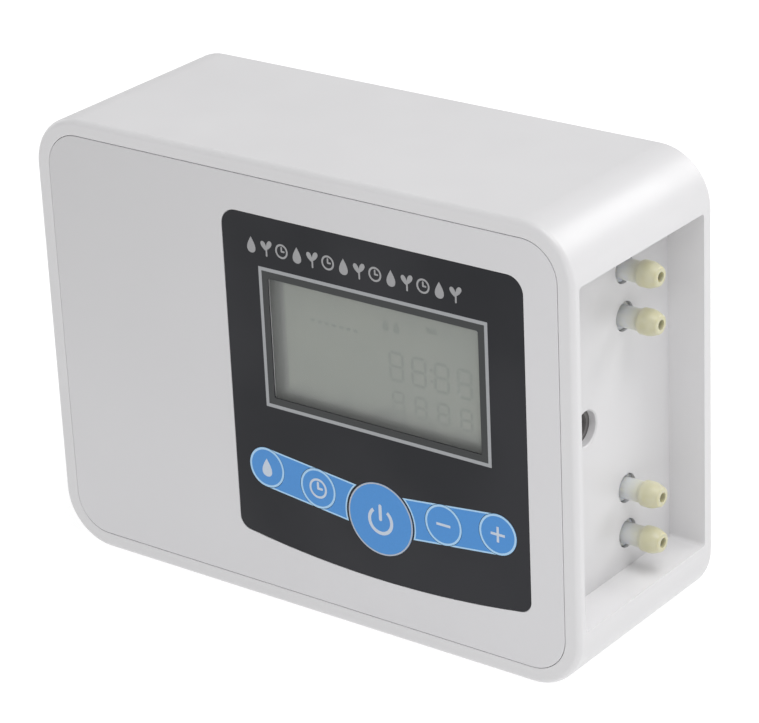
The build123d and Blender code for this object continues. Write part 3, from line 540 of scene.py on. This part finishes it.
INK = 0.02 * MM
LAYER = 0.2 * INK
KEY_FLANGE = 0.9 * MM
KEY_GAP = 0.10 * MM
LINE = 0.38 * MM
RING = 0.55 * MM
RING_INSET = 0.02 * MM
SYMBOL_LINE = 0.62 * MM
POWER_LINE = 0.85 * MM
SIGN_REACH = 1.9 * MM
BAND_GAP = 0.4 * MM
LENS_BORDER = 2.2 * MM
FRAME_LINE = 0.85 * MM
FRAME_LINE_REACH = 2.55 * MM
ICON_COUNT = 14
ICON_LEFT = 4.2 * MM
ICON_RIGHT = 5.5 * MM
ICON_RISE = 5.5 * MM
ICON_MIDDLE = 1.9 * MM


def key_circle(name):
    """Centre X, centre Z and radius of a key's face, and the Y of that face."""
    low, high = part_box(name + "_key")
    return (low.x + high.x) / 2, (low.z + high.z) / 2, (high.x - low.x) / 2 - KEY_FLANGE, low.y


def view_window():
    """Left, right, bottom and top of the display's opening in the overlay."""
    low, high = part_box("display_window")
    return (
        low.x + LENS_BORDER,
        high.x - LENS_BORDER,
        low.z + LENS_BORDER,
        high.z - LENS_BORDER,
    )


def print_on_overlay(name, loops, material, layer=0):
    """A printed shape on the overlay's face; a higher layer lies just in front of a lower one."""
    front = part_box("graphic_overlay")[0].y - INK - layer * LAYER
    flat_piece(name, loops, front, INK, "case", material)


def print_frame_line(materials):
    left, right, bottom, top = view_window()
    margin = FRAME_LINE_REACH
    outer = rectangle(left - margin, right + margin, bottom - margin, top + margin)
    reach = margin - FRAME_LINE
    inner = rectangle(left - reach, right + reach, bottom - reach, top + reach)
    print_on_overlay("print_frame_line", [outer, inner], materials["print_white"])


def print_window_border(materials):
    """The plain dark margin between the display's opening and the frame line."""
    left, right, bottom, top = view_window()
    margin = FRAME_LINE_REACH - FRAME_LINE
    outer = rectangle(left - margin, right + margin, bottom - margin, top + margin)
    inner = rectangle(left, right, bottom, top)
    print_on_overlay("print_window_border", [outer, inner], materials["print_border"])


class Band:
    """The printed band that runs from the outer key on one side towards the big middle key.

    Points on it are (along, across): along its middle line from the outer key's centre, and up from it.
    """

    def __init__(self, outer_key, inner_key):
        ox, oz, radius, _ = key_circle(outer_key)
        ix, iz, _, _ = key_circle(inner_key)
        cx, cz, big, _ = key_circle("ok")
        self.origin = Vector((ox, oz))
        run = Vector((ix - ox, iz - oz))
        self.length = run.length
        self.along = run.normalized()
        side = 1 if ix > ox else -1
        self.across = Vector((-self.along.y, self.along.x)) * side
        self.half = radius
        self.rim = radius + KEY_GAP
        self.end = big + KEY_GAP + BAND_GAP
        offset = Vector((cx, cz)) - self.origin
        self.middle = (offset.dot(self.along), offset.dot(self.across))

    def after(self, key_at, across):
        """Where the far side of a key's hole is, this far from the middle line."""
        return key_at + math.sqrt(max(0.0, self.rim**2 - across**2))

    def before(self, key_at, across):
        """Where the near side of a key's hole is."""
        return key_at - math.sqrt(max(0.0, self.rim**2 - across**2))

    def at_end(self, across, inset=0.0):
        """Where the band meets the gap round the middle key, or this much short of it."""
        reach = self.end + inset
        return self.middle[0] - math.sqrt(reach**2 - (across - self.middle[1]) ** 2)

    def strip(self, start, finish, low, high, steps=40):
        """The outline between two edges, from one distance across to another."""
        levels = [low + (high - low) * i / steps for i in range(steps + 1)]
        loop = [(start(level), level) for level in levels]
        loop += [(finish(level), level) for level in reversed(levels)]
        return [tuple(self.origin + self.along * a + self.across * b) for a, b in loop]


def print_band(materials, name, outer_key, inner_key):
    band = Band(outer_key, inner_key)
    edge = band.half - LINE
    blue = materials["key_blue"]
    pale = materials["print_light_blue"]
    sections = (
        (lambda v: band.after(0, v), lambda v: band.before(band.length, v)),
        (lambda v: band.after(band.length, v), lambda v: band.at_end(v, LINE)),
    )
    ends = (sections[0], (sections[1][0], band.at_end))
    for number, (start, finish) in enumerate(sections):
        loop = band.strip(start, finish, -edge, edge)
        print_on_overlay(f"print_{name}_fill_{number}", [loop], blue)
    for number, (start, finish) in enumerate(ends):
        for word, low, high in (("low", -band.half, -edge), ("high", edge, band.half)):
            loop = band.strip(start, finish, low, high, 8)
            print_on_overlay(f"print_{name}_line_{word}_{number}", [loop], pale)
    loop = band.strip(lambda v: band.at_end(v, LINE), band.at_end, -edge, edge)
    print_on_overlay(f"print_{name}_end", [loop], pale)


def key_symbol(name, x, z):
    """Loops of the plain symbol on a key: a drop, a clock, a power sign, a minus or a plus."""
    if name == "manual":
        return [[drop(x, z, 4.6 * MM)]]
    if name == "set":
        return clock_face(x, z, 2.5 * MM, 1.95 * MM, 1.4 * MM, 1.05 * MM, SYMBOL_LINE)
    if name == "ok":
        gap = 38
        power = arc_stroke(x, z - 0.4 * MM, 3.1 * MM, POWER_LINE, 90 + gap, 450 - gap)
        return [[power], [pill(x, z, x, z + 3.3 * MM, POWER_LINE)]]
    half = SYMBOL_LINE / 2
    reach = SIGN_REACH
    bar = [rectangle(x - reach, x + reach, z - half, z + half)]
    if name == "minus":
        return [bar]
    upper_arm = [rectangle(x - half, x + half, z + half, z + reach)]
    lower_arm = [rectangle(x - half, x + half, z - reach, z - half)]
    return [bar, upper_arm, lower_arm]


def print_key(materials, name):
    x, z, radius, face = key_circle(name)
    front = face - INK
    body = name + "_button"
    shade = "print_grey_blue" if name == "ok" else "print_light_blue"
    width = LINE if name == "ok" else RING
    loops = ring(x, z, radius - RING_INSET, radius - width)
    flat_piece(f"print_{name}_ring", loops, front, INK, body, materials[shade])
    for number, loops in enumerate(key_symbol(name, x, z)):
        piece = f"print_{name}_symbol_{number}"
        flat_piece(piece, loops, front - number * LAYER, INK, body, materials["print_pale"])


def sprout(x, base):
    """A stem with two leaves."""
    stem = pill(x, base, x, base + 1.7 * MM, 0.45 * MM)
    right_leaf = leaf(x, base + 1.5 * MM, 2.5 * MM, 58)
    left_leaf = leaf(x, base + 1.2 * MM, 2.5 * MM, 122)
    return [[stem], [right_leaf], [left_leaf]]


def small_clock(x, base):
    return clock_face(x, base + ICON_MIDDLE, 1.75 * MM, 1.3 * MM, 0.9 * MM, 0.7 * MM, 0.42 * MM)


def small_drop(x, base):
    return [[drop(x, base + ICON_MIDDLE, 3.9 * MM)]]


def print_title_icons(materials):
    """A row of small garden symbols along the top of the overlay."""
    left, right, _, top = view_window()
    start = left - ICON_LEFT
    pitch = (right - ICON_RIGHT - start) / (ICON_COUNT - 1)
    kinds = (small_drop, sprout, small_clock)
    for number in range(ICON_COUNT):
        icon = kinds[number % len(kinds)]
        for part, loops in enumerate(icon(start + number * pitch, top + ICON_RISE)):
            piece = f"print_title_{number}_{part}"
            print_on_overlay(piece, loops, materials["print_title"], layer=part)


# ---------------------------------------------------------------- display segments

# distances across are from the left side of the display's opening, and heights are down from its top
SEGMENT_THICK = 0.5 * INK
SEGMENT_GAP = 0.12 * MM
DIGIT_COUNT = 4
DIGIT_LEFT = 31.4 * MM
DIGIT_PITCH = 6.15 * MM
# each row: shift to the right, foot of its digits, their width and height, and the stroke's width
DIGIT_ROWS = (
    (0.0, 18.3 * MM, 4.3 * MM, 7.4 * MM, 0.8 * MM),
    (0.5 * MM, 26.0 * MM, 3.6 * MM, 5.6 * MM, 0.7 * MM),
)
COLON_LEFT = 43.1 * MM
COLON_DOWN = (13.3 * MM, 15.9 * MM)
COLON_R = 0.42 * MM
DASH_COUNT = 7
DASH_LEFT = 10.0 * MM
DASH_PITCH = 2.0 * MM
DASH_LENGTH = 1.2 * MM
DASH_DOWN = (8.9 * MM, 8.1 * MM)
MARK_LEFT = (31.0 * MM, 34.0 * MM)
MARK_DOWN = 5.2 * MM
MARK_SIZE = 3.0 * MM
BLOCK_LEFT = 42.0 * MM
BLOCK_LENGTH = 3.0 * MM
BLOCK_DOWN = (4.6 * MM, 3.2 * MM)


def seven_segments(x, z, width, height, stroke):
    """The seven bars of one digit, from its lower left corner."""
    gap = SEGMENT_GAP
    half = stroke / 2
    middle = z + height / 2
    bars = []
    for level in (z + half, middle, z + height - half):
        bars.append(
            [
                (x + half + gap, level),
                (x + stroke + gap, level + half),
                (x + width - stroke - gap, level + half),
                (x + width - half - gap, level),
                (x + width - stroke - gap, level - half),
                (x + stroke + gap, level - half),
            ]
        )
    for centre in (x + half, x + width - half):
        for low, high in ((z + half, middle), (middle, z + height - half)):
            bars.append(
                [
                    (centre, low + gap),
                    (centre + half, low + half + gap),
                    (centre + half, high - half - gap),
                    (centre, high - gap),
                    (centre - half, high - half - gap),
                    (centre - half, low + half + gap),
                ]
            )
    return bars


def display_segments(materials):
    """Two rows of unlit digits, with a colon, a row of dashes and three small marks."""
    left, _, _, top = view_window()
    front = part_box("lcd_glass")[0].y - SEGMENT_THICK
    loops = []
    for number in range(DIGIT_COUNT):
        x = left + DIGIT_LEFT + number * DIGIT_PITCH
        for shift, foot, width, height, stroke in DIGIT_ROWS:
            loops += seven_segments(x + shift, top - foot, width, height, stroke)
    for down in COLON_DOWN:
        loops.append(circle(left + COLON_LEFT, top - down, COLON_R))
    for number in range(DASH_COUNT):
        x = left + DASH_LEFT + number * DASH_PITCH
        loops.append(rectangle(x, x + DASH_LENGTH, top - DASH_DOWN[0], top - DASH_DOWN[1]))
    for across in MARK_LEFT:
        loops.append(drop(left + across, top - MARK_DOWN, MARK_SIZE))
    x = left + BLOCK_LEFT
    loops.append(rectangle(x, x + BLOCK_LENGTH, top - BLOCK_DOWN[0], top - BLOCK_DOWN[1]))
    segment_ink = materials["segment_ghost"]
    flat_piece("display_segments", loops, front, SEGMENT_THICK, "case", segment_ink)


# ---------------------------------------------------------------- build


bpy.context.scene.view_settings.view_transform = "Standard"
MATERIALS = node_materials()
dress_nodes(MATERIALS)
print_frame_line(MATERIALS)
print_window_border(MATERIALS)
print_band(MATERIALS, "left_band", "manual", "set")
print_band(MATERIALS, "right_band", "plus", "minus")
for key_name in KEY_NAMES:
    print_key(MATERIALS, key_name)
print_title_icons(MATERIALS)
display_segments(MATERIALS)
add_floor()
add_lights()
add_camera()
